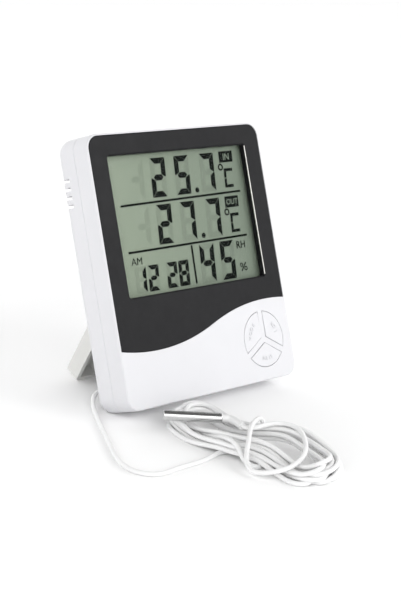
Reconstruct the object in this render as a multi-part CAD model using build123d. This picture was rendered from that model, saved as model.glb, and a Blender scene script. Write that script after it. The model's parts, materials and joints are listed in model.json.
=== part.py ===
from build123d import *
import os
from math import acos, atan2, cos, degrees, hypot, pi, radians, sin, sqrt, tan

# A desk thermometer with a maximum and minimum memory, its fold-out stand, and a probe on a thin cord.
# Millimetres. The case is drawn upright: X to the viewer's right, Y from the front face to the back,
# Z up from the bottom edge. It is then leaned back onto its stand, where the cord already lies.

# Case
WIDTH = 98.0
HEIGHT = 110.0
DEPTH = 20.0
WALL = 2.0
FRONT_WALL = 2.6
CORNER = 6.0
REAR_ROUNDING = 5.0
FRONT_ROUNDING = 0.7
SEAM = 8.5
SEAM_CHAMFER = 0.25
LIP = 1.2
LIP_GAP = 0.05
LEAN = 21.8

# Bezel and window
BEZEL_RIM = 0.7
BEZEL_THICK = 1.3
BEZEL_CHAMFER = 0.4
WAVE_LOW = (-28.9, 21.9)
WAVE_HIGH = (37.0, 34.2)
WINDOW_WIDTH = 78.0
WINDOW_BOTTOM = 44.0
WINDOW_TOP = 100.8
WINDOW_CORNER = 1.0
WINDOW_CHAMFER = 0.6
SKIRT = 1.2

# Lens and display
LENS_THICK = 1.0
LENS_WIDTH = 82.8
LENS_BOTTOM = 40.0
LENS_TOP = 102.0
DISPLAY_GAP = 0.15
GLASS_THICK = 1.1
LEDGE = 3.4
CRADLE_GAP = 0.1
CRADLE_WALL = 1.2
STRIP_WIDTH = 2.2
STRIP_LENGTH = 76.0

# Circuit board
BOARD_FRONT = 6.6
BOARD_THICK = 1.0
BOARD_WIDTH = 81.0
BOARD_BOTTOM = 8.0
BOARD_TOP = 48.0
BOARD_SCREWS = [(-37.5, 11.5), (12.0, 12.0), (-37.5, 36.5), (37.5, 37.0)]
POST_RADIUS = 2.2
POST_FLOOR = 0.8
CHIP = (-6.0, 28.0)
CHIP_RADIUS = 7.0
CHIP_HEIGHT = 1.4
CHIP_ROUNDING = 1.2
CRYSTAL = (12.0, 30.0)
CRYSTAL_RADIUS = 1.0
CRYSTAL_LENGTH = 6.0
CRYSTAL_EDGE = 0.3

# Buttons
BUTTON_CENTRE = (32.0, 17.5)
BUTTON_HOLE = 12.0
BUTTON_GAP = 0.2
BUTTON_RIB = 2.4
BUTTON_CROWN = 0.4
CROWN_SPHERE = 250.0
BUTTON_EDGE = 0.3
FLANGE_RADIUS = 12.9
FLANGE_SPLIT = 1.0
FLANGE_THICK = 0.8
BUTTON_TRAVEL = 0.8
FLANGE_GAP = 0.1
STEM_RADIUS = 1.5
STEM_LENGTH = 0.9
STEM_OFFSET = 7.0
PAD_RADIUS = 11.5
PAD_THICK = 0.6
DOME_RADIUS = 2.2
DOME_HEIGHT = 0.5
BUTTON_ANGLES = {"mode_button": 150.0, "adjust_button": 30.0, "memory_button": 270.0}

# Stand and its pocket in the back
HINGE_Y = 17.5
HINGE_Z = 48.7
HINGE_PIN = 1.5
PIN_FIT = 0.06
PIN_LENGTH = 2.0
STAND_WIDTH = 66.4
STAND_OUTER = 2.3
STAND_INNER = 4.9
STAND_END = 47.2
HEEL = 4.0
STAND_SKIN = 1.6
STAND_EDGE = 1.8
STAND_RIB = 1.4
STAND_CHANNELS = 6
STAND_CHANNEL_TOP = 7.0
STOP_GAP = 0.02
POCKET_SIDE = 0.3
POCKET_DEPTH = 5.3
POCKET_ROOF = 4.9
POCKET_WALL = 1.5
POCKET_FLOOR = 1.2
HINGE_BOSS = 3.2
BOSS_END = 1.0
PIN_END_GAP = 0.2
NOTCH_RADIUS = 9.0
NOTCH_DEPTH = 3.0

# Battery compartment
BATTERY_RADIUS = 5.2
BATTERY_Y = 13.5
BATTERY_Z = 64.5
BATTERY_END = 23.9
BATTERY_START = -19.8
NUB_RADIUS = 1.9
NUB_LENGTH = 0.8
TRAY_HALF = 25.5
TRAY_BOTTOM = 58.8
TRAY_TOP = 70.2
TRAY_FLOOR = 8.2
TRAY_WALL = 1.2
TRAY_END = 2.5
DOOR_THICK = 1.2
DOOR_HALF = 27.0
DOOR_BOTTOM = 57.9
DOOR_TOP = 71.9
DOOR_GAP = 0.15
TONGUE_DROP = 0.5
TONGUE_REACH = 2.0
CONTACT_THICK = 0.4
CONTACT_HALF = 4.0
RIVET_RADIUS = 0.8
RIVET_TAIL = 0.5
SPRING_WIRE = 0.3
SPRING_TURNS = 4
SPRING_RADIUS = 3.4
SPRING_TIP = 2.4

# Screws
CASE_SCREWS = [(-30.0, 105.4), (30.0, 105.4), (-43.8, 33.0), (43.8, 33.0)]
BOSS_RADIUS = 2.3
SEAT_RADIUS = 3.0
SEAT_Y = 14.0
SEAT_FLOOR = 1.6
HEAD_RADIUS = 1.9
HEAD_HEIGHT = 1.3
HEAD_GAP = 0.25
SHANK_RADIUS = 1.0
SHANK_GAP = 0.03
SHANK_LENGTH = 9.0
BOARD_SHANK = 3.6
CROSS_WIDTH = 0.45
CROSS_LENGTH = 2.4
CROSS_DEPTH = 0.7

# Sensor board behind the side vents, with the unit button's switch
SENSOR_BOARD = (-38.0, 86.5, 15.0, 20.0)
SENSOR_BOARD_Y = 12.5
VENT_FIRST = 83.6
VENT_PITCH = 3.4
VENT_COUNT = 4
VENT_HEIGHT = 1.4
VENT_FRONT = 13.5
VENT_INNER = 43.0
UNIT_BUTTON = (-37.5, 82.5)
UNIT_RADIUS = 2.5
UNIT_GAP = 0.25
UNIT_PROUD = 0.4
SWITCH_HALF = 2.2
SWITCH_THICK = 1.6
SWITCH_STEM = 1.0
SWITCH_STEM_RISE = 0.4
HUMIDITY = (-42.5, 89.0)
HUMIDITY_WIDE = 4.0
HUMIDITY_TALL = 6.0
HUMIDITY_THICK = 2.2
HUMIDITY_RIM = 0.6
HUMIDITY_PITCH = 1.6
HUMIDITY_SLIT = 0.3
THERMISTOR = (-37.0, 92.0)
BEAD_RADIUS = 1.1
LEAD_RADIUS = 0.2
LEAD_SPACING = 0.6
LEAD_LENGTH = 2.4

# Buzzer and wall hook
BUZZER = (21.0, 87.0)
BUZZER_RADIUS = 7.5
BUZZER_THICK = 1.2
SOUND_HOLE = 0.6
SOUND_HOLES = 6
SOUND_RING = 3.0
HOOK_CENTRE = (0.0, 92.0)
HOOK_RADIUS = 4.0
HOOK_SLOT = 2.0
HOOK_RISE = 8.0
HOOK_DEPTH = 4.0
HOOK_ROOM = 11.0
HOOK_WALL = 1.2

WIRE_RADIUS = 0.45

# Cord, hank and probe, placed where they lie with the case standing on its stand
CORD_RADIUS = 0.95
GROMMET = (-40.5, 9.4)
GROMMET_HOLE = 2.0
GROMMET_TIP = 1.5
GROMMET_PROUD = 1.9
CORD_STRAIGHT = 2.3
CORD_ROUTE = [
    (-42.3, -2.2, 4.6),
    (-45.6, -3.6, 3.7),
    (-49.6, -8.2, 2.4),
    (-54.6, -16.4, 1.0),
    (-61.4, -28.0, 1.0),
    (-68.4, -39.5, 1.0),
    (-75.4, -50.5, 1.0),
    (-79.2, -62.5, 1.0),
    (-73.0, -71.2, 1.0),
    (-60.5, -69.5, 1.0),
    (-49.0, -70.0, 1.0),
    (-38.0, -67.2, 1.0),
]

# The hank is a run of rounds, each a centre and a radius, with a height for each pair of neighbours
HANK_ROUNDS = [
    ((-25.6, -42.6), 13.5),
    ((-26.7, -56.1), 13.5),
    ((-24.3, -68.1), 14.5),
    ((-18.9, -79.9), 17.5),
    ((-19.2, -95.4), 15.2),
]
HANK_HEIGHTS = [5.8, 6.2, 6.6, 8.2]
HANK_EDGE = 2.5
PROBE_ROOT = (-25.8, -56.2, 9.0)
PROBE_AIM = (-17.8, 14.7, -0.4)
PROBE_RADIUS = 2.0
PROBE_LENGTH = 23.0
PROBE_EDGE = 0.5
SLEEVE_RADIUS = 1.45
SLEEVE_STRAIGHT = 3.0
SLEEVE_ROUTE = [
    (-23.7, -61.4, 9.2),
    (-25.3, -66.6, 9.1),
]

lean = radians(LEAN)
LENS_BACK = FRONT_WALL + LENS_THICK
DISPLAY_FRONT = LENS_BACK + DISPLAY_GAP
DISPLAY_STEP = DISPLAY_FRONT + GLASS_THICK
DISPLAY_BACK = DISPLAY_STEP + GLASS_THICK
BOARD_BACK = BOARD_FRONT + BOARD_THICK
REAR_INSIDE = DEPTH - WALL

# The case stands on the lower rear rounding, and its origin is the middle of the base of its box.
LOWEST = REAR_ROUNDING * cos(lean) - (DEPTH - REAR_ROUNDING) * sin(lean) - REAR_ROUNDING
NEAREST = FRONT_ROUNDING * (cos(lean) + sin(lean) - 1)
FURTHEST = (DEPTH - REAR_ROUNDING) * cos(lean) + (HEIGHT - REAR_ROUNDING) * sin(lean) + REAR_ROUNDING
STANDING = Pos(0, -(NEAREST + FURTHEST) / 2, -LOWEST) * Rot(-LEAN, 0, 0)


def opening_angle():
    """The angle, in degrees, at which the stand's inner tip meets the ground."""
    height = HINGE_Z * cos(lean) - HINGE_Y * sin(lean) - LOWEST
    down = STAND_END * cos(lean) - STAND_INNER * sin(lean)
    out = STAND_INNER * cos(lean) + STAND_END * sin(lean)
    return degrees(atan2(out, down) + acos(height / hypot(down, out)))


OPEN_ANGLE = opening_angle()


def slab(outline, front, back):
    """An outline in X and Z, made solid between two depths."""
    plane = Plane(origin=(0, back, 0), x_dir=(1, 0, 0), z_dir=(0, -1, 0))
    return extrude(plane * outline, amount=back - front)


def disc(centre, radius, front, back):
    return slab(Pos(*centre) * Circle(radius), front, back)


def block(low, high):
    """A box between two corners."""
    size = [b - a for a, b in zip(low, high)]
    return Pos(*low) * Box(*size, align=(Align.MIN, Align.MIN, Align.MIN))


def case_outline(inset=0.0):
    size = (WIDTH - 2 * inset, HEIGHT - 2 * inset)
    return Pos(0, HEIGHT / 2) * RectangleRounded(*size, CORNER - inset)


def panel(width, bottom, top, radius, grow=0.0):
    """A rounded rectangle about the middle of the case."""
    size = (width + 2 * grow, top - bottom + 2 * grow)
    return Pos(0, (bottom + top) / 2) * RectangleRounded(*size, radius + grow)


def tube(points, radius):
    """Straight runs joined by arcs as large as the runs allow. Returns the solid and the arcs' radii."""
    spots = [Vector(*p) for p in points]
    bends = []
    for before, here, after in zip(spots, spots[1:], spots[2:]):
        turn = radians((here - before).get_angle(after - here))
        run = min((here - before).length, (after - here).length)
        bends.append(0.45 * run / tan(turn / 2))
    path = FilletPolyline(*spots, radius=bends)
    start = Plane(origin=spots[0], z_dir=spots[1] - spots[0])
    return sweep(start * Circle(radius), path=path), bends


def wave_outline():
    """The bezel: straight sides and top, and a lower edge of two equal arcs in an S."""
    half_run = (WAVE_HIGH[0] - WAVE_LOW[0]) / 2
    half_rise = (WAVE_HIGH[1] - WAVE_LOW[1]) / 2
    radius = (half_run**2 + half_rise**2) / (2 * half_rise)
    middle = (WAVE_LOW[0] + half_run, WAVE_LOW[1] + half_rise)
    side = WIDTH / 2 - BEZEL_RIM
    top = HEIGHT - BEZEL_RIM
    left = WAVE_LOW[1] + radius - sqrt(radius**2 - (side + WAVE_LOW[0]) ** 2)
    right = WAVE_HIGH[1] - radius + sqrt(radius**2 - (side - WAVE_HIGH[0]) ** 2)
    low_arc = ThreePointArc((-side, left), WAVE_LOW, middle)
    high_arc = ThreePointArc(middle, WAVE_HIGH, (side, right))
    rest = Polyline((side, right), (side, top), (-side, top), (-side, left))
    face = make_face([low_arc, high_arc, rest])
    corners = face.vertices().filter_by(lambda v: v.Y > top - 1)
    return fillet(corners, CORNER - BEZEL_RIM)


def window(grow=0.0):
    return panel(WINDOW_WIDTH, WINDOW_BOTTOM, WINDOW_TOP, WINDOW_CORNER, grow)


def front_case():
    shell = slab(case_outline(), 0, SEAM)
    shell = chamfer(shell.faces().sort_by(Axis.Y)[-1].edges(), SEAM_CHAMFER)
    shell = fillet(shell.faces().sort_by(Axis.Y)[0].edges(), FRONT_ROUNDING)
    shell -= slab(case_outline(WALL), FRONT_WALL, SEAM)
    shell -= slab(case_outline(WALL / 2), SEAM - LIP, SEAM)
    shell -= slab(wave_outline(), 0, BEZEL_THICK)
    shell -= slab(window(SKIRT), 0, FRONT_WALL)
    cradle_inner = panel(LENS_WIDTH, LENS_BOTTOM, LENS_TOP, 0.5, CRADLE_GAP)
    cradle_outer = panel(LENS_WIDTH, LENS_BOTTOM, LENS_TOP, 0.5, CRADLE_GAP + CRADLE_WALL)
    shell += slab(cradle_outer - cradle_inner, FRONT_WALL, DISPLAY_BACK)
    for place in BOARD_SCREWS:
        shell += disc(place, POST_RADIUS, FRONT_WALL, BOARD_FRONT)
        shell -= disc(place, SHANK_RADIUS + SHANK_GAP, FRONT_WALL + POST_FLOOR, BOARD_FRONT)
    for place in CASE_SCREWS:
        shell += disc(place, BOSS_RADIUS, FRONT_WALL, SEAM)
        shell -= disc(place, SHANK_RADIUS + SHANK_GAP, FRONT_WALL + POST_FLOOR, SEAM)
    for angle in BUTTON_ANGLES.values():
        shell -= slab(sector(BUTTON_HOLE, BUTTON_RIB, angle), 0, FRONT_WALL)
    return shell


def display_bezel():
    plate = slab(wave_outline(), 0, BEZEL_THICK)
    plate = chamfer(plate.faces().sort_by(Axis.Y)[0].edges(), BEZEL_CHAMFER)
    plate += slab(window(SKIRT), BEZEL_THICK, FRONT_WALL)
    plate -= slab(window(), 0, FRONT_WALL)
    inner = plate.faces().sort_by(Axis.Y)[0].inner_wires()[0].edges()
    return chamfer(inner, WINDOW_CHAMFER)


def window_lens():
    return slab(panel(LENS_WIDTH, LENS_BOTTOM, LENS_TOP, 0.5), FRONT_WALL, LENS_BACK)


def lcd_glass():
    front = slab(panel(LENS_WIDTH, LENS_BOTTOM, LENS_TOP, 0.3), DISPLAY_FRONT, DISPLAY_STEP)
    back = slab(panel(LENS_WIDTH, LENS_BOTTOM + LEDGE, LENS_TOP, 0.3), DISPLAY_STEP, DISPLAY_BACK)
    return front + back


def connector_strip():
    low = (-STRIP_LENGTH / 2, DISPLAY_STEP, LENS_BOTTOM + 0.4)
    return block(low, (STRIP_LENGTH / 2, BOARD_FRONT, LENS_BOTTOM + 0.4 + STRIP_WIDTH))


def circuit_board():
    board = slab(panel(BOARD_WIDTH, BOARD_BOTTOM, BOARD_TOP, 1.0), BOARD_FRONT, BOARD_BACK)
    for place in BOARD_SCREWS:
        board -= disc(place, SHANK_RADIUS + 0.1, BOARD_FRONT, BOARD_BACK)
    return board


def controller_chip():
    """The drop of black resin over the bonded chip."""
    drop = disc(CHIP, CHIP_RADIUS, BOARD_BACK, BOARD_BACK + CHIP_HEIGHT)
    return fillet(drop.faces().sort_by(Axis.Y)[-1].edges(), CHIP_ROUNDING)


def timing_crystal():
    x, z = CRYSTAL
    can = Pos(x, BOARD_BACK + CRYSTAL_RADIUS + 0.05, z) * Cylinder(CRYSTAL_RADIUS, CRYSTAL_LENGTH)
    return fillet(can.edges().filter_by(GeomType.CIRCLE), CRYSTAL_EDGE)


def sector(radius, split, angle):
    """A third of a disc about the button centre, with half of each split taken off its sides."""
    reach = 2 * radius
    half = radians(60)
    far = (reach * cos(half), reach * sin(half))
    wedge = make_face(Polyline((0, 0), far, (far[0], -far[1]), close=True))
    shift = split / 2 / sin(half)
    piece = (Pos(shift, 0) * wedge) & Circle(radius)
    return Pos(*BUTTON_CENTRE) * Rot(0, 0, angle) * piece


def stem_place(angle):
    """Where a button's stem stands, as a place on the case's front."""
    x = BUTTON_CENTRE[0] + STEM_OFFSET * cos(radians(angle))
    z = BUTTON_CENTRE[1] + STEM_OFFSET * sin(radians(angle))
    return (x, z)


def sector_button(angle):
    """A button in one third of the ring, held behind the wall and its ribs by a flange."""
    outline = sector(BUTTON_HOLE - BUTTON_GAP, BUTTON_RIB + 2 * BUTTON_GAP, angle)
    cap = slab(outline, -BUTTON_CROWN, FRONT_WALL + FLANGE_GAP)
    dome_y = CROWN_SPHERE - BUTTON_CROWN
    cap &= Pos(BUTTON_CENTRE[0], dome_y, BUTTON_CENTRE[1]) * Sphere(CROWN_SPHERE)
    crown = cap.faces().filter_by(GeomType.SPHERE)[0]
    cap = fillet(crown.edges(), BUTTON_EDGE)
    flange_front = FRONT_WALL + FLANGE_GAP
    flange_back = flange_front + FLANGE_THICK
    flange = slab(sector(FLANGE_RADIUS, FLANGE_SPLIT, angle), flange_front, flange_back)
    return cap + flange + disc(stem_place(angle), STEM_RADIUS, flange_back, flange_back + STEM_LENGTH)


def button_pad():
    """The rubber sheet on the board, with a dome under each button's stem, clear of it by the travel."""
    pad = disc(BUTTON_CENTRE, PAD_RADIUS, BOARD_FRONT - PAD_THICK, BOARD_FRONT)
    pad &= block((0, 0, BOARD_BOTTOM), (WIDTH / 2, DEPTH, BOARD_TOP))
    for angle in BUTTON_ANGLES.values():
        dome_front = BOARD_FRONT - PAD_THICK - DOME_HEIGHT
        pad += disc(stem_place(angle), DOME_RADIUS, dome_front, BOARD_FRONT)
    return pad


def along_x(section, low, high):
    """A section in Y and Z, made solid between two places along X."""
    plane = Plane(origin=(low, 0, 0), x_dir=(0, 1, 0), z_dir=(1, 0, 0))
    return extrude(plane * section, amount=high - low)


def hinge_polygon(points):
    """A section given from the hinge axis, in the case's Y and Z."""
    return make_face(Polyline(*[(HINGE_Y + y, HINGE_Z + z) for y, z in points], close=True))


def stand_folded():
    half = STAND_WIDTH / 2
    section = hinge_polygon(
        [
            (STAND_OUTER, HEEL),
            (0, HEEL),
            (-3.2, 2.2),
            (-STAND_INNER, 0.5),
            (-STAND_INNER, -STAND_END),
            (STAND_OUTER, -STAND_END),
        ]
    )
    body = along_x(section, -half, half)
    edge = body.edges().filter_by(Axis.Y).group_by(Axis.Z)[0]
    body = fillet(edge, 2.0)
    wide = (STAND_WIDTH - 2 * STAND_EDGE - (STAND_CHANNELS - 1) * STAND_RIB) / STAND_CHANNELS
    for i in range(STAND_CHANNELS):
        x = -half + STAND_EDGE + i * (wide + STAND_RIB)
        low = (x, HINGE_Y - STAND_INNER, HINGE_Z - STAND_END + STAND_EDGE)
        high = (x + wide, HINGE_Y + STAND_OUTER - STAND_SKIN, HINGE_Z - STAND_CHANNEL_TOP)
        body -= block(low, high)
    pin = Plane(origin=(-half - PIN_LENGTH, HINGE_Y, HINGE_Z), z_dir=(1, 0, 0)) * Circle(HINGE_PIN)
    return body + extrude(pin, amount=STAND_WIDTH + 2 * PIN_LENGTH)


def stand():
    """The stand at its stop, turned about the hinge axis until its tip is on the ground."""
    turn = Pos(0, HINGE_Y, HINGE_Z) * Rot(OPEN_ANGLE, 0, 0) * Pos(0, -HINGE_Y, -HINGE_Z)
    return turn * stand_folded()


def stand_pocket():
    """The hollow that the stand folds into, with the slope that stops the heel of the open stand."""
    angle = radians(OPEN_ANGLE)
    reach = HEEL + STOP_GAP
    roof_y = (POCKET_ROOF * cos(angle) - reach) / sin(angle)
    floor_z = (reach - POCKET_DEPTH * sin(angle)) / cos(angle)
    section = hinge_polygon(
        [
            (DEPTH, POCKET_ROOF),
            (roof_y, POCKET_ROOF),
            (-POCKET_DEPTH, floor_z),
            (-POCKET_DEPTH, -HINGE_Z - 1),
            (DEPTH, -HINGE_Z - 1),
        ]
    )
    half = STAND_WIDTH / 2 + POCKET_SIDE
    return along_x(section, -half, half)


def rear_case():
    outer = slab(case_outline(), SEAM, DEPTH)
    outer = fillet(outer.faces().sort_by(Axis.Y)[-1].edges(), REAR_ROUNDING)
    outer = chamfer(outer.faces().sort_by(Axis.Y)[0].edges(), SEAM_CHAMFER)
    hollow = slab(case_outline(WALL), SEAM, REAR_INSIDE)
    hollow = fillet(hollow.faces().sort_by(Axis.Y)[-1].edges(), REAR_ROUNDING - WALL)
    shell = outer - hollow
    lip = case_outline(WALL / 2 + LIP_GAP) - case_outline(WALL)
    shell += slab(lip, SEAM - LIP + LIP_GAP, SEAM + 0.5)

    side = STAND_WIDTH / 2 + POCKET_SIDE + POCKET_WALL
    pocket_front = HINGE_Y - POCKET_DEPTH - POCKET_FLOOR
    solid = block((-side, pocket_front, 0), (side, DEPTH, HINGE_Z + POCKET_ROOF + POCKET_WALL))
    boss = side - POCKET_WALL + PIN_LENGTH + PIN_END_GAP + BOSS_END
    low = (-boss, HINGE_Y - HINGE_BOSS, HINGE_Z - HINGE_BOSS)
    solid += block(low, (boss, DEPTH, HINGE_Z + HINGE_BOSS))
    low = (-TRAY_HALF - TRAY_END, TRAY_FLOOR - 1.0, TRAY_BOTTOM - TRAY_WALL)
    solid += block(low, (TRAY_HALF + TRAY_END, DEPTH, TRAY_TOP + TRAY_WALL))
    x, z = HOOK_CENTRE
    half = HOOK_ROOM / 2 + HOOK_WALL
    low = (x - half, REAR_INSIDE - HOOK_DEPTH - HOOK_WALL, z - half)
    solid += block(low, (x + half, DEPTH, z + HOOK_RISE + half))
    low = (-DOOR_HALF - 1.5, REAR_INSIDE - 1.5, DOOR_BOTTOM - 1.5)
    solid += block(low, (DOOR_HALF + 1.5, DEPTH, DOOR_TOP + 1.5))
    for place in CASE_SCREWS:
        solid += disc(place, BOSS_RADIUS, SEAM, DEPTH)
        solid += disc(place, SEAT_RADIUS, SEAT_Y - SEAT_FLOOR, DEPTH)
    x, z, wide, tall = SENSOR_BOARD
    for dx in (-wide / 2 + 2, wide / 2 - 2):
        for dz in (-tall / 2 + 2, tall / 2 - 2):
            solid += disc((x + dx, z + dz), 1.4, SENSOR_BOARD_Y + BOARD_THICK, DEPTH)
    shell += solid & outer

    shell -= stand_pocket()
    hole = Plane(origin=(-boss + BOSS_END, HINGE_Y, HINGE_Z), z_dir=(1, 0, 0)) * Circle(HINGE_PIN + PIN_FIT)
    shell -= extrude(hole, amount=2 * (boss - BOSS_END))
    notch = Plane(origin=(0, DEPTH, HINGE_Z - STAND_END + 4), z_dir=(0, 1, 0)) * Circle(NOTCH_RADIUS)
    shell -= extrude(notch, amount=-NOTCH_DEPTH)

    low = (-TRAY_HALF, TRAY_FLOOR, TRAY_BOTTOM)
    shell -= block(low, (TRAY_HALF, DEPTH, TRAY_TOP))
    low = (-DOOR_HALF - DOOR_GAP, DEPTH - DOOR_THICK - 0.05, DOOR_BOTTOM - DOOR_GAP)
    shell -= block(low, (DOOR_HALF + DOOR_GAP, DEPTH + 1, DOOR_TOP + DOOR_GAP))
    rivet = Plane(origin=(-TRAY_HALF - TRAY_END, BATTERY_Y, BATTERY_Z), z_dir=(1, 0, 0))
    shell -= extrude(rivet * Circle(RIVET_RADIUS + 0.03), amount=2 * (TRAY_HALF + TRAY_END))

    for place in CASE_SCREWS:
        shell -= disc(place, HEAD_RADIUS + HEAD_GAP, SEAT_Y, DEPTH)
        shell -= disc(place, SHANK_RADIUS + 0.15, SEAM, SEAT_Y)
    for i in range(VENT_COUNT):
        z = VENT_FIRST + i * VENT_PITCH
        for inner, outer in ((-WIDTH / 2, -VENT_INNER), (VENT_INNER, WIDTH / 2)):
            low = (inner, VENT_FRONT, z - VENT_HEIGHT / 2)
            shell -= block(low, (outer, DEPTH, z + VENT_HEIGHT / 2))
    shell -= disc(UNIT_BUTTON, UNIT_RADIUS + UNIT_GAP, REAR_INSIDE - 3, DEPTH)
    shell -= disc(GROMMET, GROMMET_HOLE, REAR_INSIDE - 1, DEPTH)
    for i in range(SOUND_HOLES):
        angle = 2 * pi * i / SOUND_HOLES
        place = (BUZZER[0] + SOUND_RING * cos(angle), BUZZER[1] + SOUND_RING * sin(angle))
        shell -= disc(place, SOUND_HOLE, REAR_INSIDE, DEPTH)
    shell -= disc(BUZZER, SOUND_HOLE, REAR_INSIDE, DEPTH)
    x, z = HOOK_CENTRE
    shell -= disc(HOOK_CENTRE, HOOK_RADIUS, REAR_INSIDE, DEPTH)
    shell -= block((x - HOOK_SLOT, REAR_INSIDE, z), (x + HOOK_SLOT, DEPTH, z + HOOK_RISE))
    shell -= disc((x, z + HOOK_RISE), HOOK_SLOT, REAR_INSIDE, DEPTH)
    room = (HOOK_ROOM, HOOK_RISE + HOOK_ROOM)
    outline = Pos(x, z + HOOK_RISE / 2) * RectangleRounded(*room, 1.5)
    return shell - slab(outline, REAR_INSIDE - HOOK_DEPTH, REAR_INSIDE)


def battery_door():
    """A plate on a rounded lower edge, with a thumb ridge and a springy tongue inside its upper edge."""
    middle = DEPTH - DOOR_THICK / 2
    low = (-DOOR_HALF, DEPTH - DOOR_THICK, DOOR_BOTTOM + DOOR_THICK / 2)
    plate = block(low, (DOOR_HALF, DEPTH, DOOR_TOP))
    edge = Plane(origin=(-DOOR_HALF, middle, DOOR_BOTTOM + DOOR_THICK / 2), z_dir=(1, 0, 0))
    plate += extrude(edge * Circle(DOOR_THICK / 2), amount=2 * DOOR_HALF)
    top = TRAY_TOP - TONGUE_DROP
    tongue_y = DEPTH - DOOR_THICK - TONGUE_REACH
    plate += block((-4, tongue_y, top - 0.8), (4, DEPTH - DOOR_THICK, top))
    for i in range(3):
        z = DOOR_TOP - 2.2 - 1.1 * i
        plate -= block((-6, DEPTH - 0.4, z - 0.25), (6, DEPTH, z + 0.25))
    return plate


def battery_cell():
    start = Plane(origin=(BATTERY_START, BATTERY_Y, BATTERY_Z), z_dir=(1, 0, 0))
    cell = extrude(start * Circle(BATTERY_RADIUS), amount=BATTERY_END - BATTERY_START)
    cell = fillet(cell.edges().filter_by(GeomType.CIRCLE), 0.5)
    end = Plane(origin=(BATTERY_END, BATTERY_Y, BATTERY_Z), z_dir=(1, 0, 0))
    return cell + extrude(end * Circle(NUB_RADIUS), amount=NUB_LENGTH)


def contact(inner, outer, tail):
    """A square plate between two places along X, with a rivet through the tray's end wall."""
    plate = block(
        (min(inner, outer), BATTERY_Y - CONTACT_HALF, BATTERY_Z - CONTACT_HALF),
        (max(inner, outer), BATTERY_Y + CONTACT_HALF, BATTERY_Z + CONTACT_HALF),
    )
    plane = Plane(origin=(min(outer, tail), BATTERY_Y, BATTERY_Z), z_dir=(1, 0, 0))
    return plate + extrude(plane * Circle(RIVET_RADIUS), amount=abs(tail - outer))


def positive_contact():
    inner = BATTERY_END + NUB_LENGTH
    return contact(inner, TRAY_HALF, TRAY_HALF + TRAY_END + RIVET_TAIL)


def negative_contact():
    return contact(-TRAY_HALF + CONTACT_THICK, -TRAY_HALF, -TRAY_HALF - TRAY_END - RIVET_TAIL)


def negative_spring():
    """A conical coil between the negative plate and the cell."""
    base = -TRAY_HALF + CONTACT_THICK + SPRING_WIRE
    span = BATTERY_START - SPRING_WIRE - base
    taper = degrees(atan2(SPRING_TIP - SPRING_RADIUS, span))
    coil = Helix(pitch=span / SPRING_TURNS, height=span, radius=SPRING_RADIUS, cone_angle=taper)
    wire = Plane(origin=coil @ 0, z_dir=coil % 0) * Circle(SPRING_WIRE)
    solid = sweep(wire, path=coil, is_frenet=True)
    return Plane(origin=(base, BATTERY_Y, BATTERY_Z), z_dir=(1, 0, 0)) * solid


def screw(place, seat, length):
    """A pan-head screw driven towards the front, its head behind the seat."""
    head = disc(place, HEAD_RADIUS, seat, seat + HEAD_HEIGHT)
    head = fillet(head.faces().sort_by(Axis.Y)[-1].edges(), 0.5)
    x, z = place
    for wide, tall in ((CROSS_WIDTH, CROSS_LENGTH), (CROSS_LENGTH, CROSS_WIDTH)):
        low = (x - wide / 2, seat + HEAD_HEIGHT - CROSS_DEPTH, z - tall / 2)
        head -= block(low, (x + wide / 2, seat + HEAD_HEIGHT, z + tall / 2))
    return head + disc(place, SHANK_RADIUS, seat - length, seat)


def group(shapes):
    return Compound(list(shapes))


def sensor_board():
    x, z, wide, tall = SENSOR_BOARD
    outline = Pos(x, z) * RectangleRounded(wide, tall, 0.6)
    return slab(outline, SENSOR_BOARD_Y, SENSOR_BOARD_Y + BOARD_THICK)


def humidity_sensor():
    """A vented plastic shell beside the vents."""
    back = SENSOR_BOARD_Y + BOARD_THICK
    top = back + HUMIDITY_THICK
    x, z = HUMIDITY
    half_wide, half_tall = HUMIDITY_WIDE / 2, HUMIDITY_TALL / 2
    shell = block((x - half_wide, back, z - half_tall), (x + half_wide, top, z + half_tall))
    reach = half_wide - HUMIDITY_RIM
    for rise in (-HUMIDITY_PITCH, 0, HUMIDITY_PITCH):
        low = (x - reach, top - HUMIDITY_RIM, z + rise - HUMIDITY_SLIT)
        shell -= block(low, (x + reach, top, z + rise + HUMIDITY_SLIT))
    return shell


def indoor_thermistor():
    """A glass bead on two stiff leads."""
    back = SENSOR_BOARD_Y + BOARD_THICK
    x, z = THERMISTOR
    bead = Pos(x, back + LEAD_LENGTH, z) * Sphere(BEAD_RADIUS)
    for dx in (-LEAD_SPACING, LEAD_SPACING):
        bead += disc((x + dx, z), LEAD_RADIUS, back, back + LEAD_LENGTH)
    return bead


def unit_switch():
    x, z = UNIT_BUTTON
    back = SENSOR_BOARD_Y + BOARD_THICK
    top = back + SWITCH_THICK
    body = block((x - SWITCH_HALF, back, z - SWITCH_HALF), (x + SWITCH_HALF, top, z + SWITCH_HALF))
    return body + disc(UNIT_BUTTON, SWITCH_STEM, top, top + SWITCH_STEM_RISE)


def unit_button():
    flange_back = REAR_INSIDE - 0.1
    cap = disc(UNIT_BUTTON, UNIT_RADIUS, flange_back, DEPTH + UNIT_PROUD)
    cap = fillet(cap.faces().sort_by(Axis.Y)[-1].edges(), 0.4)
    return cap + disc(UNIT_BUTTON, UNIT_RADIUS + 0.8, flange_back - 0.8, flange_back)


def alarm_buzzer():
    ring = disc(BUZZER, BUZZER_RADIUS, REAR_INSIDE - BUZZER_THICK - 0.6, REAR_INSIDE - 0.6)
    ring += disc(BUZZER, BUZZER_RADIUS, REAR_INSIDE - 0.6, REAR_INSIDE)
    return ring - disc(BUZZER, BUZZER_RADIUS - 1.5, REAR_INSIDE - 0.6, REAR_INSIDE)


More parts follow.
